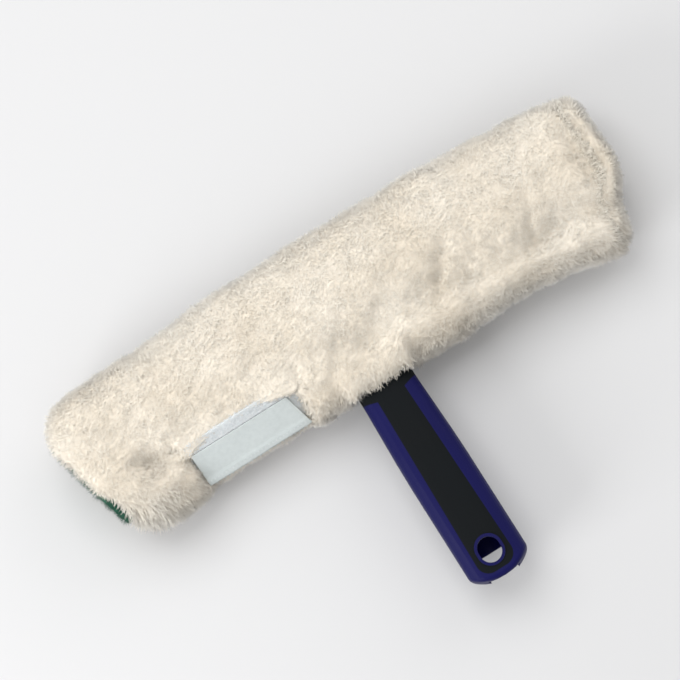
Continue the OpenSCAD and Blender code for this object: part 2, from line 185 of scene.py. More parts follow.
def addLight(name, s):
    place = Vector(s["place"])
    bpy.ops.object.light_add(type="AREA", location=place)
    light = bpy.context.object
    light.name = name
    light.data.energy, light.data.size = s["power"], s["size"]
    light.rotation_euler = place.to_track_quat("Z", "Y").to_euler()


def addStudio():
    s = studio
    deselectAll()
    bpy.ops.mesh.primitive_plane_add(size=8, location=(0, 0, -0.0005))
    floor = bpy.context.object
    floor.name = "floor"
    paint = bpy.data.materials.new("floorPaint")
    paint.use_nodes = True
    shader = paint.node_tree.nodes["Principled BSDF"]
    shader.inputs["Base Color"].default_value = (*s["floor"], 1)
    shader.inputs["Roughness"].default_value = 0.9
    shader.inputs["Specular IOR Level"].default_value = 0.0
    floor.data.materials.append(paint)
    floor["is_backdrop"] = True
    scene.world = scene.world or bpy.data.worlds.new("studio")
    scene.world.use_nodes = True
    sky = scene.world.node_tree.nodes["Background"]
    sky.inputs[0].default_value, sky.inputs[1].default_value = (1, 1, 1, 1), s["world"]
    for name in ("key", "right", "left"):
        addLight(name + "Light", s[name])


addCamera()
addStudio()
scene.view_settings.view_transform = "Standard"
print("camera and studio")


# Material helpers
def addNode(tree, kind, inputs=None, **settings):
    made = tree.nodes.new(kind)
    for key, value in settings.items():
        setattr(made, key, value)
    for key, value in (inputs or {}).items():
        if isinstance(value, bpy.types.NodeSocket):
            tree.links.new(value, made.inputs[key])
        else:
            made.inputs[key].default_value = value
    return made


def doMath(tree, operation, a, b=0.0):
    return addNode(tree, "ShaderNodeMath", {0: a, 1: b}, operation=operation).outputs[0]


def mixColour(tree, share, a, b, blend="MIX"):
    return addNode(tree, "ShaderNodeMix", {0: share, 6: a, 7: b}, data_type="RGBA", blend_type=blend).outputs[2]


def mapRange(tree, value, low, high, toLow, toHigh):
    return addNode(tree, "ShaderNodeMapRange", {"Value": value, "From Min": low, "From Max": high,
                   "To Min": toLow, "To Max": toHigh}).outputs["Result"]


def newGroup(name, inputs, outputs):
    tree = bpy.data.node_groups.new(name, "ShaderNodeTree")
    for key, (kind, value) in inputs.items():
        socket = tree.interface.new_socket(key, in_out="INPUT", socket_type="NodeSocket" + kind)
        if value is not None:
            socket.default_value = value
    for key in outputs:
        tree.interface.new_socket(key, in_out="OUTPUT", socket_type="NodeSocketFloat")
    return tree, tree.nodes.new("NodeGroupInput").outputs, tree.nodes.new("NodeGroupOutput")


# Fine moulded or rubber grain, as a height, with the gloss's slow variation
def makeGrainGroup():
    tree, given, out = newGroup("mouldedGrain", {"Place": ("Vector", None), "Grain per Metre": ("Float", 1500.0)},
                                ["Height", "Handled"])
    fine = addNode(tree, "ShaderNodeTexNoise", {"Vector": given["Place"], "Scale": given["Grain per Metre"],
                                                "Detail": 3.0, "Roughness": 0.6})
    slow = addNode(tree, "ShaderNodeTexNoise", {"Vector": given["Place"], "Scale": 22.0, "Detail": 4.0})
    tree.links.new(fine.outputs["Fac"], out.inputs["Height"])
    tree.links.new(mapRange(tree, slow.outputs["Fac"], 0.35, 0.65, 0.0, 1.0), out.inputs["Handled"])
    return tree


# Plain weave: threads that pass over and under each other, as a height, with the yarn's unevenness
def makeWeaveGroup():
    tree, given, out = newGroup("plainWeave", {"Place": ("Vector", None), "Threads per Metre": ("Float", 1400.0)},
                                ["Height", "Yarn"])
    scaled = addNode(tree, "ShaderNodeVectorMath", {0: given["Place"]}, operation="SCALE")
    tree.links.new(given["Threads per Metre"], scaled.inputs["Scale"])
    part = addNode(tree, "ShaderNodeSeparateXYZ", {0: scaled.outputs[0]})
    ridge = [doMath(tree, "ABSOLUTE", doMath(tree, "SINE", doMath(tree, "MULTIPLY", part.outputs[i], math.pi)))
             for i in (0, 1)]
    cell = [doMath(tree, "FLOOR", part.outputs[i]) for i in (0, 1)]
    over = doMath(tree, "FLOORED_MODULO", doMath(tree, "ADD", cell[0], cell[1]), 2.0)
    threads = doMath(tree, "ADD", doMath(tree, "MULTIPLY", ridge[0], over),
                     doMath(tree, "MULTIPLY", ridge[1], doMath(tree, "SUBTRACT", 1.0, over)))
    yarn = addNode(tree, "ShaderNodeTexNoise", {"Vector": given["Place"], "Scale": 420.0, "Detail": 4.0})
    tree.links.new(threads, out.inputs["Height"])
    tree.links.new(yarn.outputs["Fac"], out.inputs["Yarn"])
    return tree


mouldedGrain, plainWeave = makeGrainGroup(), makeWeaveGroup()


def newMaterial(name, roughness, **uniform):
    m = bpy.data.materials.new(name)
    m.use_nodes = True
    shader = m.node_tree.nodes["Principled BSDF"]
    shader.inputs["Roughness"].default_value = roughness
    for key, value in uniform.items():
        shader.inputs[key.replace("_", " ")].default_value = value
    return m, m.node_tree, shader


def objectPlace(tree, turn=(0, 0, 0)):
    coords = addNode(tree, "ShaderNodeTexCoord")
    return addNode(tree, "ShaderNodeMapping", {"Vector": coords.outputs["Object"], "Rotation": turn}).outputs[0]


def addBump(tree, shader, height, distance, strength=1.0):
    bump = addNode(tree, "ShaderNodeBump", {"Height": height, "Distance": distance, "Strength": strength})
    tree.links.new(bump.outputs["Normal"], shader.inputs["Normal"])


# Moulded plastic or rubber: fine grain, slightly uneven gloss, faint dust in the grain
def makeMoulded(name, s):
    m, tree, shader = newMaterial(name, s["gloss"][0], Specular_IOR_Level=s.get("shine", 0.5))
    grain = addNode(tree, "ShaderNodeGroup", node_tree=mouldedGrain)
    grain.inputs["Grain per Metre"].default_value = s["grain"]
    tree.links.new(objectPlace(tree), grain.inputs["Place"])
    tree.links.new(mapRange(tree, grain.outputs["Handled"], 0, 1, *s["gloss"]), shader.inputs["Roughness"])
    base, worn = (*s["colour"], 1), (*s["worn"], 1)
    tree.links.new(mixColour(tree, doMath(tree, "MULTIPLY", grain.outputs["Handled"], s["wear"]), base, worn),
                   shader.inputs["Base Color"])
    addBump(tree, shader, grain.outputs["Height"], s["depth"])
    return m


def makeWoven(name, s):
    m, tree, shader = newMaterial(name, 0.85, Sheen_Weight=0.25)
    weave = addNode(tree, "ShaderNodeGroup", node_tree=plainWeave)
    weave.inputs["Threads per Metre"].default_value = s["threads"]
    tree.links.new(objectPlace(tree, s.get("turn", (0, 0, 0))), weave.inputs["Place"])
    yarn = mixColour(tree, mapRange(tree, weave.outputs["Yarn"], 0.35, 0.65, 0, 1), (*s["colour"], 1), (*s["light"], 1))
    # painted shade: the weave's lower threads are painted darker, standing in for the shade between the threads
    sunk = mapRange(tree, weave.outputs["Height"], 0, 0.5, 0.82, 1)
    shade = addNode(tree, "ShaderNodeCombineColor", {0: sunk, 1: sunk, 2: sunk}).outputs[0]
    tree.links.new(mixColour(tree, 1.0, yarn, shade, "MULTIPLY"), shader.inputs["Base Color"])
    addBump(tree, shader, weave.outputs["Height"], s["depth"])
    return m


# Fleece
fleece = {"voxel": 0.0035, "frames": 14, "pressure": 2.5, "reach": 0.004,
          "drawIn": 0.0012, "endDrawIn": 0.0034, "farRelief": 0.75, "endTrim": 0.0022, "padTrim": 0.0030,
          "length": 0.357, "width": 0.097, "thickness": 0.053, "barY": 0.064, "midZ": 0.026,
          "leftNarrow": 0.005, "rightLift": 0.005, "sag": 0.011, "sagStart": 0.020,
          "seam": 0.1665, "seamSlope": -0.0115,
          # root is the darker colour painted at the foot of each strand, as painted shade down in the pile
          "root": (0.92, 0.84, 0.72), "tip": (0.99, 0.94, 0.84)}
crease = {"y": 0.039, "start": -0.035, "fade": 0.06, "depth": 0.0044, "above": 0.0130, "below": 0.0045,
          "wave": 0.0016}
# Closure: everything on the tab is laid out flat, x along it and y up it, then leaned into place
closure = {"hinge": (0.0, 0.0196, 0.0290), "lean": 38, "left": -0.114, "right": -0.046, "slant": 0.005,
           "width": 0.0225, "thickness": 0.0012, "edge": 0.0004}
# Slope of the fleece down to the band above the tab, and the lip that hangs over the handle's neck
bandSlope = {"y": 0.0425, "left": -0.1160, "right": -0.0440, "width": 0.009, "depth": 0.0040, "floor": 0.0265,
             "overhang": 0.0040}
neckLip = {"x": 0.024, "fade": 0.006, "y": 0.030, "z": 0.0365, "reach": 0.0062, "under": 0.0388}
# Pressed places of the sleeve's front: x, y, radius along and across, turn in degrees, depth
dents = [(-0.134, 0.045, 0.010, 0.008, 0, 0.0085), (-0.090, 0.055, 0.030, 0.008, 8, 0.0026),
         (-0.123, 0.038, 0.011, 0.0024, -25, 0.0020),
         (-0.120, 0.043, 0.010, 0.0020, -18, 0.0014), (0.060, 0.050, 0.020, 0.004, 55, 0.0018),
         (0.118, 0.048, 0.018, 0.004, 70, 0.0022), (-0.020, 0.034, 0.014, 0.004, 60, 0.0018),
         (0.022, 0.052, 0.030, 0.006, 40, 0.0012), (-0.070, 0.056, 0.022, 0.006, 20, 0.0010)]


def sagAt(x):
    s = fleece
    return s["sag"] * np.maximum(0, (x - s["sagStart"]) / (s["length"] / 2 - s["sagStart"])) ** 1.6


# 1 on the sleeve's outer surface, less inside it
def outwardness(co):
    s = fleece
    x, length = co[:, 0], s["length"]
    y, z = co[:, 1] - s["barY"] + sagAt(x), co[:, 2] - s["midZ"]
    far = s["width"] / 2 - s["leftNarrow"] * ease((-x - length / 8) / (length / 4))
    near = s["width"] / 2 - s["rightLift"] * (ease((x - length / 9) / (length / 6))
                                              * (1 - ease((x - length / 2 + 0.048) / 0.016)))
    half = np.where(y > 0, far, near)
    return (np.abs(y / half) ** 2.5 + np.abs(z / (s["thickness"] / 2)) ** 2.5) ** 0.4


def copyNode(nodeName, name):
    obj = bpy.data.objects.new(name, frame["nodes"][nodeName].data.copy())
    scene.collection.objects.link(obj)
    obj.data.materials.clear()
    pick(obj)
    bpy.ops.object.mode_set(mode="EDIT")
    bpy.ops.mesh.select_all(action="SELECT")
    bpy.ops.mesh.remove_doubles(threshold=0.00001)
    bpy.ops.mesh.normals_make_consistent(inside=False)
    bpy.ops.object.mode_set(mode="OBJECT")
    return obj


def addCloth(obj, pinned, settings):
    pick(obj)
    group = obj.vertex_groups.new(name="held")
    for i, w in enumerate(pinned):
        if w > 0:
            group.add([i], float(w), "REPLACE")
    cloth = obj.modifiers.new("pileCloth", "CLOTH")
    cloth.settings.quality = 4
    cloth.settings.mass = 0.3
    cloth.settings.tension_stiffness = cloth.settings.compression_stiffness = 18
    cloth.settings.bending_stiffness = 0.6
    cloth.settings.use_pressure = True
    cloth.settings.uniform_pressure_force = settings["pressure"]
    cloth.settings.vertex_group_mass = "held"
    cloth.settings.effector_weights.gravity = 0
    cloth.point_cache.frame_start, cloth.point_cache.frame_end = 1, settings["frames"]
    for f in range(1, settings["frames"] + 1):
        scene.frame_set(f)
    bpy.ops.object.modifier_apply(modifier="pileCloth")
    scene.frame_set(1)
    obj.vertex_groups.clear()


def addDisplace(obj, name, size, strength, depth=1):
    texture = bpy.data.textures.new(name, "CLOUDS")
    texture.noise_scale, texture.noise_depth = size, depth
    applyModifier(obj, name, "DISPLACE", texture=texture, strength=strength, mid_level=0.5, texture_coords="LOCAL")


# What lies on the floor is pressed flat
def pressFlat(obj, floor=0.0004):
    co = points(obj)
    under = co[:, 2] < floor
    co[under, 2] = floor + 0.04 * (co[under, 2] - floor)
    setPoints(obj, co)


# Where the end piece's seam runs
def seamAt(co):
    s = fleece
    low = ease((s["barY"] - 0.003 - sagAt(co[:, 0]) - co[:, 1]) / 0.020)
    return s["seam"] + s["seamSlope"] * low


# How deep the front is pressed at each point
def pressedDepth(co):
    c = crease
    x, y = co[:, 0], co[:, 1]
    off = y - c["y"] + sagAt(x) + c["wave"] * np.sin(x * 74 + 0.6) + 0.6 * c["wave"] * np.sin(x * 171)
    off = off / np.where(off > 0, c["above"], c["below"])
    deep = (c["depth"] * (0.8 + 0.35 * np.sin(x * 97 + 2)) * ease((x - c["start"]) / c["fade"])
            * ease((0.172 - x) / 0.012) * np.exp(-off ** 2))
    for cx, cy, along, across, turn, depth in dents:
        a = math.radians(turn)
        u = (x - cx) * math.cos(a) + (y - cy) * math.sin(a)
        v = (y - cy) * math.cos(a) - (x - cx) * math.sin(a)
        deep += depth * np.exp(-(u / along) ** 2 - (v / across) ** 2)
    return deep * ease((co[:, 2] - fleece["midZ"]) / 0.012)


# Lowers the fleece round the tab and the band above it
def slopeToBand(co):
    b = bandSlope
    beside = np.maximum(0, np.maximum(b["left"] - co[:, 0], co[:, 0] - b["right"])) / b["width"]
    above = np.maximum(0, co[:, 1] - b["y"]) / b["width"]
    high = ease((co[:, 2] - b["floor"] - 0.62 * (co[:, 1] - 0.0196)) / 0.004)
    co[:, 2] -= b["depth"] * np.exp(-beside ** 2 - above ** 2) * high
    # the fleece hangs over both ends of the band
    middle = ease((co[:, 0] - b["left"] + 0.002) / 0.036) * ease((b["right"] + 0.002 - co[:, 0]) / 0.032)
    edge = ease((co[:, 1] - b["y"] + 0.004) / 0.003) * ease((b["y"] + 0.010 - co[:, 1]) / 0.008)
    inBand = ease((co[:, 0] - b["left"] + 0.004) / 0.003) * ease((b["right"] + 0.004 - co[:, 0]) / 0.003)
    co[:, 1] -= b["overhang"] * (1 - middle) * edge * inBand * high
    return co


# 1 where the fleece is pressed flat under the tab and the loop strip
def underTab(co):
    b, c = bandSlope, closure
    a = math.radians(c["lean"])
    y, z = co[:, 1] - c["hinge"][1], co[:, 2] - c["hinge"][2]
    along, through = y * math.cos(a) + z * math.sin(a), z * math.cos(a) - y * math.sin(a)
    inside = ((co[:, 0] > b["left"]) & (co[:, 0] < b["right"]) & (along > -0.001) & (along < 0.0302)
              & (through < -0.0014))
    return inside.astype(float)


# Moves the edge over the neck towards the handle
def hangLip(co):
    n = neckLip
    share = (ease((n["x"] - np.abs(co[:, 0])) / n["fade"]) * ease((n["y"] + 0.008 - co[:, 1]) / 0.012)
             * ease((co[:, 2] - n["z"]) / 0.0015))
    co[:, 1] -= n["reach"] * share
    low = (share > 0.3) & (co[:, 2] < n["under"])
    co[low, 2] = n["under"]
    return co


# The skin that the pile stands on: remeshed, puffed by a short cloth simulation, pressed in at its
# creases and drawn in by the pile's own thickness
def makeSkin(nodeName, name, puff):
    s = fleece
    skin = copyNode(nodeName, name)
    applyModifier(skin, "voxels", "REMESH", mode="VOXEL", voxel_size=s["voxel"])
    rest = points(skin)
    free = np.clip((outwardness(rest) - 0.90) / 0.06, 0, 1)
    if puff:
        addCloth(skin, 1 - free, s)
        moved = points(skin) - rest
        far = np.linalg.norm(moved, axis=1, keepdims=True)
        setPoints(skin, rest + moved * np.minimum(1, s["reach"] / np.maximum(far, 1e-9)))
    co = points(skin)
    # the right end is drawn in more, least on the side away from the handle, where the pad's end is shorter
    farSide = ease((co[:, 1] - 0.080) / 0.015)
    rightEnd = ease((co[:, 0] - 0.150) / 0.015)
    inner = s["drawIn"] + s["endDrawIn"] * rightEnd * (1 - s["farRelief"] * farSide)
    co -= pointNormals(skin) * (inner * free)[:, None]
    co[:, 0] -= s["endTrim"] * ease((co[:, 0] - 0.150) / 0.015)
    co[:, 0] += s["padTrim"] * ease((-0.160 - co[:, 0]) / 0.015) * farSide
    # the two skins lap over each other at the seam, so that no groove shows
    lap = np.exp(-((co[:, 0] - seamAt(co)) / 0.005) ** 2)
    co[:, 0] += (0.0024 if puff else -0.0024) * lap
    setPoints(skin, co)
    applyModifier(skin, "finer", "SUBSURF", levels=1, render_levels=1)
    co = points(skin)
    outer = np.clip((outwardness(co) - 0.80) / 0.1, 0, 1)
    # pile stands on the round of the sleeve, on the right end's face and on the left end's rim
    face = pointNormals(skin)[:, 0]
    ends = (ease((co[:, 0] - 0.160) / 0.004) * ease((face - 0.1) / 0.2)
            + ease((-0.171 - co[:, 0]) / 0.003) * ease((outwardness(co) - 0.62) / 0.05))
    setAttribute(skin, "pileArea", np.clip(np.clip((outwardness(co) - 0.70) / 0.05, 0, 1) + ends, 0, 1)
                 * (1 - underTab(co)))
    setPoints(skin, hangLip(slopeToBand(co - pointNormals(skin) * (pressedDepth(co) * outer)[:, None])))
    addDisplace(skin, name + "Lobes", 0.026, 0.0030)
    addDisplace(skin, name + "Clumps", 0.009, 0.0014)
    addDisplace(skin, name + "Granules", 0.0035, 0.0005)
    pressFlat(skin, 0.001)
    pick(skin)
    bpy.ops.object.shade_smooth()
    return skin


pile = {"spacing": 0.00082, "length": 0.0023, "width": 0.00023, "bend": 0.6, "softness": 0.97,
        "flow": 2.4, "flowScale": 30.0, "loose": 0.4, "upright": 0.6, "clump": (0.8, 1.2)}
loops = {"spacing": 0.00062, "length": 0.0008, "width": 0.00026, "bend": 0.5, "softness": 0.9,
         "flow": 0.5, "flowScale": 200.0, "loose": 0.7, "upright": 1.0, "clump": (0.8, 1.1)}
fibres = {"spacing": 0.0011, "length": 0.0034, "width": 0.00011, "bend": 0.55, "softness": 0.0,
          "flow": 1.0, "flowScale": 300.0, "loose": 1.0, "upright": 0.15, "clump": (0.7, 1.2)}


# Where the pile stands, how long it is and which way it is combed
def combPile(skin):
    co = points(skin)
    normal = pointNormals(skin)
    s = fleece
    x, y, z = co[:, 0], co[:, 1], co[:, 2]
    near = ease((s["barY"] - sagAt(x) - y - 0.030) / 0.014)
    front = ease((z - 0.016) / 0.012)
    right = ease((x - 0.150) / 0.02)
    corner = ease((-x - 0.118) / 0.03) * ease((0.052 - y) / 0.03)
    neck = ease((0.030 - np.abs(x)) / 0.008) * near * ease((z - 0.030) / 0.006)
    seam = np.exp(-((x - seamAt(co)) / 0.004) ** 2)
    b = bandSlope
    band = (ease((x - b["left"] + 0.004) / 0.004) * ease((b["right"] + 0.004 - x) / 0.004)
            * ease((b["y"] + 0.006 - y) / 0.003))
    side = ease((0.047 - z) / 0.010) * ease((z - 0.004) / 0.004)
    left = ease((-x - 0.158) / 0.012)
    longer = (1 + 0.35 * np.maximum(near, right) + 1.5 * corner + 0.7 * seam - 0.3 * band
              + 0.35 * side + 0.3 * left)
    setAttribute(skin, "pileLong", longer)
    lean = normal * (0.7 * side)[:, None]
    lean[:, 0] -= 0.5 * left
    lean[:, 1] -= 0.9 * neck + 0.25 * near
    lean[:, 0] += 0.25 * right + 0.5 * corner + 1.0 * seam * np.sign(seamAt(co) - x)
    lean[:, 1] -= 0.7 * corner
    lean[:, 2] += 0.2 * neck
    setAttribute(skin, "pileLean", lean)


# One lock of pile: a bent three-sided cone, with its height as an attribute
def makeTuft(name, s, look):
    deselectAll()
    bpy.ops.mesh.primitive_cone_add(vertices=3, radius1=s["width"], radius2=0, depth=s["length"],
                                    end_fill_type="NOTHING", location=(0, 0, s["length"] / 2))
    tuft = bpy.context.object
    tuft.name = name
    placeMesh(tuft)
    bpy.ops.object.mode_set(mode="EDIT")
    bpy.ops.mesh.select_all(action="SELECT")
    bpy.ops.mesh.bisect(plane_co=(0, 0, s["length"] * 0.6), plane_no=(0, 0, 1))
    bpy.ops.object.mode_set(mode="OBJECT")
    co = points(tuft)
    up = co[:, 2] / s["length"]
    co[:, :2] *= (1 + 3 * up * (1 - up))[:, None]
    co[:, 0] += s["bend"] * s["length"] * up ** 2
    co[:, 2] *= 1 - 0.12 * up
    setPoints(tuft, co)
    setAttribute(tuft, "pileHeight", up)
    tuft.data.materials.append(look)
    bpy.ops.object.shade_smooth()
    return tuft


def pileNodes(name, tuft, s, low, high, seed):
    tree = bpy.data.node_groups.new(name, "GeometryNodeTree")
    tree.interface.new_socket("Geometry", in_out="INPUT", socket_type="NodeSocketGeometry")
    tree.interface.new_socket("Geometry", in_out="OUTPUT", socket_type="NodeSocketGeometry")
    start, end = tree.nodes.new("NodeGroupInput"), tree.nodes.new("NodeGroupOutput")

    def named(attribute, kind="FLOAT"):
        return addNode(tree, "GeometryNodeInputNamedAttribute", {"Name": attribute},
                       data_type=kind).outputs["Attribute"]

    def vectorMath(operation, a, b):
        return addNode(tree, "ShaderNodeVectorMath", {0: a, 1: b}, operation=operation).outputs[0]

    def scaled(vector, amount):
        return addNode(tree, "ShaderNodeVectorMath", {0: vector, "Scale": amount}, operation="SCALE").outputs[0]

    def randomVector(least, most, number):
        return addNode(tree, "FunctionNodeRandomValue", {"Min": least, "Max": most, "Seed": number},
                       data_type="FLOAT_VECTOR").outputs["Value"]

    x = addNode(tree, "ShaderNodeSeparateXYZ", {0: addNode(tree, "GeometryNodeInputPosition").outputs[0]}).outputs["X"]
    inside = doMath(tree, "MULTIPLY", doMath(tree, "GREATER_THAN", x, low), doMath(tree, "LESS_THAN", x, high))
    density = doMath(tree, "MULTIPLY", named("pileArea"), 1 / s["spacing"] ** 2)
    scatter = addNode(tree, "GeometryNodeDistributePointsOnFaces", {
        "Mesh": start.outputs[0], "Selection": inside, "Density": density, "Seed": seed}, distribute_method="RANDOM")
    kept = tree.nodes.new("GeometryNodeCaptureAttribute")
    kept.capture_items.new("VECTOR", "skin")
    tree.links.new(scatter.outputs["Points"], kept.inputs["Geometry"])
    tree.links.new(scatter.outputs["Normal"], kept.inputs[1])
    flow = addNode(tree, "ShaderNodeTexNoise", {"Scale": s["flowScale"], "Detail": 3.0})
    combed = scaled(vectorMath("SUBTRACT", flow.outputs["Color"], (0.5, 0.5, 0.5)), s["flow"])
    loose = randomVector((-s["loose"],) * 3, (s["loose"],) * 3, seed + 1)
    aimed = vectorMath("ADD", vectorMath("ADD", scaled(scatter.outputs["Normal"], s["upright"]), combed),
                       vectorMath("ADD", loose, named("pileLean", "FLOAT_VECTOR")))
    aim = addNode(tree, "FunctionNodeAlignRotationToVector", {"Vector": aimed}, axis="Z")
    spin = addNode(tree, "FunctionNodeRotateRotation", {0: aim.outputs[0],
                   1: randomVector((0, 0, 0), (0, 0, 2 * math.pi), seed + 2)}, rotation_space="LOCAL")
    size = addNode(tree, "FunctionNodeRandomValue", {2: 0.65, 3: 1.25, "Seed": seed + 3}, data_type="FLOAT").outputs[1]
    clump = addNode(tree, "ShaderNodeTexNoise", {"Scale": 150.0}).outputs["Fac"]
    grown = doMath(tree, "MULTIPLY", size, mapRange(tree, clump, 0.35, 0.65, *s["clump"]))
    tall = doMath(tree, "MULTIPLY", grown, named("pileLong"))
    shape = addNode(tree, "GeometryNodeObjectInfo", {"Object": tuft})
    stretch = addNode(tree, "ShaderNodeCombineXYZ", {0: grown, 1: grown, 2: tall})
    stand = addNode(tree, "GeometryNodeInstanceOnPoints", {
        "Points": kept.outputs["Geometry"], "Instance": shape.outputs["Geometry"], "Rotation": spin.outputs[0],
        "Scale": stretch.outputs[0]})
    real = addNode(tree, "GeometryNodeRealizeInstances", {0: stand.outputs[0]})
    own = addNode(tree, "GeometryNodeInputNormal").outputs[0]
    soft = addNode(tree, "ShaderNodeMix", {"Factor": s["softness"], 4: own, 5: kept.outputs[1]}, data_type="VECTOR")
    unit = addNode(tree, "ShaderNodeVectorMath", {0: soft.outputs[1]}, operation="NORMALIZE")
    shaded = addNode(tree, "GeometryNodeSetMeshNormal", {"Mesh": real.outputs[0], "Custom Normal": unit.outputs[0]},
                     mode="FREE", domain="POINT")
    tree.links.new(shaded.outputs[0], end.inputs[0])
    return tree


def growPile(base, tuft, s, name, low, high, seed):
    part = base.copy()
    part.data = base.data.copy()
    part.name = name
    part.data.materials.clear()
    scene.collection.objects.link(part)
    applyModifier(part, "grow", "NODES", node_group=pileNodes(name + "Nodes", tuft, s, low, high, seed))
    print(name, len(part.data.polygons))
    return part


def makeFleeceMaterial():
    s = fleece
    m, tree, shader = newMaterial("creamFleece", 0.9, Sheen_Weight=0.5, Sheen_Roughness=0.6)
    place = objectPlace(tree)
    blotch = addNode(tree, "ShaderNodeTexNoise", {"Vector": place, "Scale": 26.0, "Detail": 3.0}).outputs["Fac"]
    fine = addNode(tree, "ShaderNodeTexNoise", {"Vector": place, "Scale": 520.0, "Detail": 2.0}).outputs["Fac"]
    height = addNode(tree, "ShaderNodeAttribute", attribute_name="pileHeight").outputs["Fac"]
    # painted shade: strands are painted darker towards their roots, where the pile shades itself
    strand = mixColour(tree, mapRange(tree, height, 0.0, 0.7, 0.15, 1.0), (*s["root"], 1), (*s["tip"], 1))
    tint = mixColour(tree, mapRange(tree, blotch, 0.35, 0.65, 0.0, 1.0), (0.94, 0.92, 0.89, 1), (1, 1, 1, 1))
    speck = mixColour(tree, mapRange(tree, fine, 0.35, 0.65, 0.0, 1.0), (0.95, 0.94, 0.92, 1), (1, 1, 1, 1))
    both = mixColour(tree, 1.0, tint, speck, "MULTIPLY")
    tree.links.new(mixColour(tree, 1.0, strand, both, "MULTIPLY"), shader.inputs["Base Color"])
    return m


fleeceLook = makeFleeceMaterial()
tuft = makeTuft("tuft", pile, fleeceLook)
for nodeName, pieceName, puff, cuts, seed in (("fleece_tube", "sleeveFleece", True, 8, 11),
                                              ("end_panel", "endFleece", False, 1, 31)):
    skin = makeSkin(nodeName, pieceName, puff)
    combPile(skin)
    skin.data.materials.append(fleeceLook)
    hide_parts(nodeName)
    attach(skin, "washer")
    for i in range(cuts):
        low, high = (-0.19 + 0.047 * i, -0.19 + 0.047 * (i + 1)) if cuts > 1 else (-1, 1)
        part = growPile(skin, tuft, pile, pieceName + "Pile" + str(i + 1), low, high, seed + i)
        pressFlat(part, 0.0002)
        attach(part, "washer")
bpy.data.objects.remove(tuft)
print("fleece")

# Scouring pad: nonwoven fibre web, sewn in behind the left end
pad = {"colour": (0.003, 0.052, 0.028), "light": (0.008, 0.125, 0.070)}


def makePadMaterial():
    s = pad
    m, tree, shader = newMaterial("greenFibre", 0.6)
    place = objectPlace(tree)
    web = addNode(tree, "ShaderNodeTexNoise", {"Vector": place, "Scale": 700.0, "Detail": 4.0, "Distortion": 1.5})
    share = mapRange(tree, web.outputs["Fac"], 0.4, 0.6, 0.0, 1.0)
    tree.links.new(mixColour(tree, share, (*s["colour"], 1), (*s["light"], 1)), shader.inputs["Base Color"])
    addBump(tree, shader, web.outputs["Fac"], 0.0006)
    return m


padLook = makePadMaterial()
scrubPad = copyNode("scrub_pad", "scrubPad")
applyModifier(scrubPad, "voxels", "REMESH", mode="VOXEL", voxel_size=0.0013)
addDisplace(scrubPad, "padSwell", 0.012, 0.0008)
addDisplace(scrubPad, "padWeb", 0.0022, 0.0009, 2)
pick(scrubPad)
bpy.ops.object.shade_smooth()
scrubPad.data.materials.append(padLook)
setAttribute(scrubPad, "pileArea", np.ones(len(scrubPad.data.vertices)))
setAttribute(scrubPad, "pileLong", np.ones(len(scrubPad.data.vertices)))
setAttribute(scrubPad, "pileLean", np.zeros((len(scrubPad.data.vertices), 3)))
fibre = makeTuft("fibre", fibres, padLook)
padFibres = growPile(scrubPad, fibre, fibres, "padFibres", -1, 1, 51)
bpy.data.objects.remove(fibre)
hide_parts("scrub_pad")
for piece in (scrubPad, padFibres):
    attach(piece, "washer")
print("scouring pad")

tapeColours = {"colour": (0.60, 0.65, 0.645), "light": (0.64, 0.69, 0.685), "threads": 1500.0, "depth": 0.00010,
               "turn": (-math.radians(38), 0, 0)}
tapeLook = makeWoven("paleTape", tapeColours)
bindingLook = makeWoven("bindingTape", {**tapeColours, "turn": (0, 0, 0), "threads": 1100.0})
uprightLook = makeWoven("lipTape", {**tapeColours, "turn": (-math.pi / 2, 0, 0), "threads": 1100.0})
loopLook = makeWoven("loopFabric", {"colour": (0.86, 0.92, 0.94), "light": (0.94, 0.97, 0.98), "threads": 1600.0,
                                    "depth": 0.0001, "turn": (-math.radians(38), 0, 0)})
hookLook = makeMoulded("hookPlastic", {"colour": (0.62, 0.67, 0.69), "worn": (0.70, 0.74, 0.76), "wear": 0.5,
                                       "gloss": (0.35, 0.5), "grain": 3000.0, "depth": 0.00002})


def lean(obj):
    return placeMesh(obj, closure["hinge"], (math.radians(closure["lean"]), 0, 0))


# A flat strip with rounded edges, cut into cells so that it can be shaped
def addStrip(name, low, high, edge, cuts=(1, 1)):
    deselectAll()
    low, high = Vector(low), Vector(high)
    bpy.ops.mesh.primitive_cube_add(size=1, location=(low + high) / 2)
    strip = bpy.context.object
    strip.name = name
    strip.scale = high - low
    bpy.ops.object.transform_apply(location=True, rotation=True, scale=True)
    bpy.ops.object.mode_set(mode="EDIT")
    for axis, count in enumerate(cuts):
        for i in range(1, count):
            at, normal = low.copy(), Vector((0, 0, 0))
            at[axis] += (high[axis] - low[axis]) * i / count
            normal[axis] = 1
            bpy.ops.mesh.select_all(action="SELECT")
            bpy.ops.mesh.bisect(plane_co=at, plane_no=normal)
    bpy.ops.object.mode_set(mode="OBJECT")
    applyModifier(strip, "edges", "BEVEL", width=edge, segments=3, limit_method="ANGLE")
    pick(strip)
    bpy.ops.object.shade_smooth_by_angle(angle=math.radians(40))
    return strip


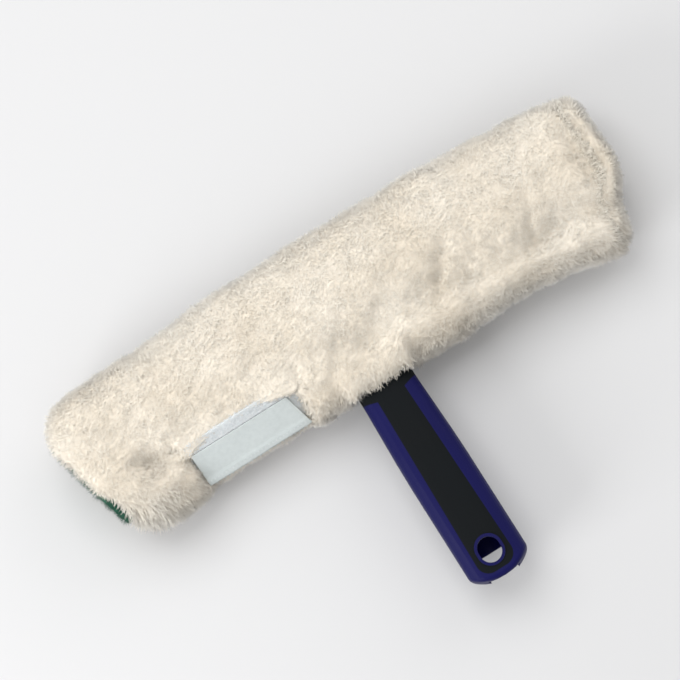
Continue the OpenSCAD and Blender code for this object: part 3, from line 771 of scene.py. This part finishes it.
# A row of stitches: one short arched thread, then its copies
def addStitches(name, start, step, count, thread, look):
    deselectAll()
    bpy.ops.mesh.primitive_cylinder_add(vertices=6, radius=thread, depth=step * 0.78, rotation=(0, math.pi / 2, 0))
    row = bpy.context.object
    row.name = name
    placeMesh(row)
    bpy.ops.object.mode_set(mode="EDIT")
    for share in (-0.3, 0, 0.3):
        bpy.ops.mesh.select_all(action="SELECT")
        bpy.ops.mesh.bisect(plane_co=(share * step, 0, 0), plane_no=(1, 0, 0))
    bpy.ops.object.mode_set(mode="OBJECT")
    co = points(row)
    t = 2 * co[:, 0] / (0.78 * step)
    co[:, 1:] *= (1 - 0.45 * t ** 4)[:, None]
    co[:, 2] += thread * (0.5 - 1.6 * t ** 4)
    setPoints(row, co)
    applyModifier(row, "copies", "ARRAY", count=count, use_relative_offset=False, use_constant_offset=True,
                  constant_offset_displace=(step, 0, 0))
    placeMesh(row, start)
    bpy.ops.object.shade_smooth()
    row.data.materials.append(look)
    return row


def makeFibreMaterial(name, s):
    m, tree, shader = newMaterial(name, 0.9, Sheen_Weight=0.4)
    tone = addNode(tree, "ShaderNodeTexNoise", {"Vector": objectPlace(tree), "Scale": 900.0, "Detail": 2.0})
    tree.links.new(mixColour(tree, mapRange(tree, tone.outputs["Fac"], 0.35, 0.65, 0.0, 1.0), (*s["dark"], 1),
                   (*s["light"], 1)), shader.inputs["Base Color"])
    return m


threadLook = makeFibreMaterial("paleThread", {"dark": (0.70, 0.74, 0.74), "light": (0.82, 0.85, 0.85)})
fuzzLook = makeFibreMaterial("loopFibre", {"dark": (0.88, 0.93, 0.95), "light": (0.97, 0.99, 1.0)})


def makeTab():
    c = closure
    half = c["thickness"] / 2
    tape = addStrip("tabTape", (c["left"], 0, -half), (c["right"], c["width"], half), c["edge"], (24, 36))
    co = points(tape)
    share = co[:, 1] / c["width"]
    fromLeft = (co[:, 0] - c["left"]) / (c["right"] - c["left"])
    co[:, 0] -= c["slant"] * share * fromLeft
    above = co[:, 2] > 0
    ripple = 0.00012 * np.sin(co[:, 0] * 210) * np.sin(co[:, 1] * 260 + 1) * (share > 0.1)
    hem = 0.00025 * ease((0.0052 - co[:, 1]) / 0.0006) * (share > 0.02)
    co[above, 2] += (ripple + hem)[above]
    setPoints(tape, co)
    tape.data.materials.append(tapeLook)
    stitches = addStitches("tabStitches", (c["left"] + 0.0022, 0.0030, half + 0.00022), 0.0024, 27, 0.00024, threadLook)
    return lean(tape), lean(stitches)


def makeHooks():
    c = closure
    top, base, low = -c["thickness"] / 2, -0.00095, -0.0016
    left, right = c["left"] + 0.002, c["right"] - c["slant"] - 0.002
    back = addStrip("hookTape", (left, 0.002, base), (right, 0.0205, top), 0.0001)
    back.data.materials.append(hookLook)
    deselectAll()
    bpy.ops.mesh.primitive_cylinder_add(vertices=4, radius=0.00013, depth=0.00035, end_fill_type="NGON",
                                        location=(0, 0, base - 0.00017))
    hook = bpy.context.object
    placeMesh(hook)
    for shift, turn in (((0.00012, 0, -0.00014), -40), ((0.00020, 0, -0.00002), -55), ((0.00010, 0, 0.00014), -50)):
        bpy.ops.object.mode_set(mode="EDIT")
        bm = bmesh.from_edit_mesh(hook.data)
        bm.select_mode = {"FACE"}
        bm.faces.ensure_lookup_table()
        if shift[2] > -0.0001:
            tip = [f for f in bm.faces if f.select]
        else:
            tip = [min(bm.faces, key=lambda f: f.calc_center_median().z)]
        for f in bm.faces:
            f.select_set(f in tip)
        bmesh.update_edit_mesh(hook.data)
        bpy.ops.mesh.extrude_region_move(TRANSFORM_OT_translate={"value": shift})
        centre = sum((v.co for v in bmesh.from_edit_mesh(hook.data).verts if v.select), Vector()) / 4
        bpy.ops.transform.rotate(value=math.radians(turn), orient_axis="Y", center_override=centre)
        bpy.ops.object.mode_set(mode="OBJECT")
    placeMesh(hook, (left + 0.001, 0.003, 0))
    hook.data.materials.append(hookLook)
    for name, pitch, count in (("along", (0.0013, 0, 0), int((right - left - 0.002) / 0.0013) + 1),
                               ("across", (0, 0.0013, 0), 13)):
        applyModifier(hook, name, "ARRAY", count=count, use_relative_offset=False, use_constant_offset=True,
                      constant_offset_displace=pitch)
    co = points(hook)
    co[:, 2] = np.maximum(co[:, 2], low)
    setPoints(hook, co)
    return lean(joinPieces("hookTape", [back, hook]))


def makeLoopStrip():
    c = closure
    left, right = c["left"] - 0.0015, c["right"] + 0.0015
    strip = addStrip("loopStrip", (left, 0.003, -0.0031), (right, 0.0295, -0.0024), 0.0002, (36, 56))
    strip.data.materials.append(loopLook)
    count = len(strip.data.vertices)
    co = points(strip)
    shown = (co[:, 2] > -0.0026) * ease((co[:, 1] - 0.0224) / 0.0004)
    setAttribute(strip, "pileArea", (co[:, 2] > -0.0026).astype(float))
    co[:, 2] += shown * (0.0024 - 0.16 * (co[:, 1] - 0.0224))
    setPoints(strip, co)
    setAttribute(strip, "pileLong", 0.7 + 1.4 * ease((co[:, 1] - 0.0226) / 0.001))
    setAttribute(strip, "pileLean", np.zeros((count, 3)))
    loop = makeTuft("loop", loops, fuzzLook)
    fuzz = growPile(strip, loop, loops, "loopFuzz", -1, 1, 71)
    bpy.data.objects.remove(loop)
    return lean(strip), lean(fuzz)


def makeBinding():
    lower = addStrip("lowerBinding", (-0.1207, 0.0206, 0.02593), (-0.046, 0.033, 0.02693), 0.0003, (20, 3))
    upper = addStrip("upperBinding", (-0.1207, 0.0215, 0.02708), (-0.046, 0.033, 0.02808), 0.0003, (20, 3))
    lip = addStrip("lipBinding", (-0.114, 0.0202, 0.021), (-0.046, 0.0212, 0.0283), 0.0003, (20, 3))
    for tape in (lower, upper):
        tape.data.materials.append(bindingLook)
    lip.data.materials.append(uprightLook)
    stitches = addStitches("lipStitches", (0, 0, 0), 0.0026, 25, 0.00022, threadLook)
    placeMesh(stitches, (-0.1125, 0.0202, 0.0235), (math.pi / 2, 0, 0))
    return joinPieces("slitBinding", [lower, upper, lip, stitches])


# The bend in the tape between the lip and the tab
def makeFold():
    c = closure
    a = math.radians(c["lean"])
    route = [(0.0207, 0.0262), (0.0207, 0.0274), (0.0204, 0.0284), (0.0199, 0.0290),
             (0.0196 + 0.0012 * math.cos(a), 0.0290 + 0.0012 * math.sin(a)),
             (0.0196 + 0.0026 * math.cos(a), 0.0290 + 0.0026 * math.sin(a))]
    deselectAll()
    bpy.ops.mesh.primitive_plane_add(size=1)
    fold = bpy.context.object
    fold.name = "tabFold"
    bpy.ops.object.mode_set(mode="EDIT")
    bpy.ops.mesh.delete(type="ONLY_FACE")
    bm = bmesh.from_edit_mesh(fold.data)
    corners = sorted(bm.verts, key=lambda v: (v.co.y, v.co.x))
    for v, x in zip(corners[:2], (c["left"], c["right"])):
        v.co = (x, *route[0])
    bmesh.ops.delete(bm, geom=corners[2:], context="VERTS")
    for v in bm.verts:
        v.select_set(True)
    bm.select_flush(True)
    bmesh.update_edit_mesh(fold.data)
    for before, after in zip(route, route[1:]):
        bpy.ops.mesh.extrude_region_move(TRANSFORM_OT_translate={
            "value": (0, after[0] - before[0], after[1] - before[1])})
    bpy.ops.object.mode_set(mode="OBJECT")
    applyModifier(fold, "round", "SUBSURF", levels=2, render_levels=2)
    applyModifier(fold, "cloth", "SOLIDIFY", thickness=0.0007, offset=0)
    pick(fold)
    bpy.ops.object.mode_set(mode="EDIT")
    bpy.ops.mesh.select_all(action="SELECT")
    bpy.ops.mesh.normals_make_consistent(inside=False)
    bpy.ops.object.mode_set(mode="OBJECT")
    bpy.ops.object.shade_smooth_by_angle(angle=math.radians(40))
    fold.data.materials.append(uprightLook)
    return fold


tabTape, tabStitches = makeTab()
hookTape = makeHooks()
loopStrip, loopFuzz = makeLoopStrip()
slitBinding = makeBinding()
fold = makeFold()
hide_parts("closure_tab")
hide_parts("hook_strip")
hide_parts("loop_strip")
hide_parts("slit_binding")
for piece, body, slotName in ((tabTape, "tab", "tab_tape"), (tabStitches, "tab", "tab_tape"),
                              (hookTape, "tab", "hook_tape"), (loopStrip, "washer", "loop_fabric"),
                              (loopFuzz, "washer", "loop_fabric"), (slitBinding, "washer", "binding_tape")):
    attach(piece, body)
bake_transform(fold)
print("closure")

# Handle, bar and screws keep their CAD shapes
looks = {
    "handle_shell": ("bluePlastic", {"colour": (0.0036, 0.0036, 0.062), "worn": (0.0055, 0.0055, 0.075), "wear": 0.5,
                                     "gloss": (0.42, 0.52), "grain": 1800.0, "depth": 0.00003,
                                     "shine": 0.12}),
    "soft_grip": ("blackRubber", {"colour": (0.0040, 0.0052, 0.0062), "worn": (0.007, 0.009, 0.0105), "wear": 0.6,
                                  "gloss": (0.62, 0.78), "grain": 1300.0, "depth": 0.00006,
                                  "shine": 0.10}),
    "crossbar": ("barPlastic", {"colour": (0.013, 0.013, 0.015), "worn": (0.022, 0.022, 0.024), "wear": 0.5,
                                "gloss": (0.45, 0.6), "grain": 1500.0, "depth": 0.00005})}
for nodeName, (name, s) in looks.items():
    obj = frame["nodes"][nodeName]
    obj.data.materials.clear()
    obj.data.materials.append(makeMoulded(name, s))


def makeSteel():
    m, tree, shader = newMaterial("zincSteel", 0.35, Metallic=1.0)
    grain = addNode(tree, "ShaderNodeGroup", node_tree=mouldedGrain)
    grain.inputs["Grain per Metre"].default_value = 2600.0
    tree.links.new(objectPlace(tree), grain.inputs["Place"])
    tree.links.new(mapRange(tree, grain.outputs["Handled"], 0, 1, 0.28, 0.42), shader.inputs["Roughness"])
    tree.links.new(mixColour(tree, grain.outputs["Handled"], (0.55, 0.56, 0.58, 1), (0.66, 0.66, 0.66, 1)),
                   shader.inputs["Base Color"])
    addBump(tree, shader, grain.outputs["Height"], 0.00002)
    return m


screws = frame["nodes"]["hub_screws"]
screws.data.materials.clear()
screws.data.materials.append(makeSteel())
print("handle, bar and screws")

low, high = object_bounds()
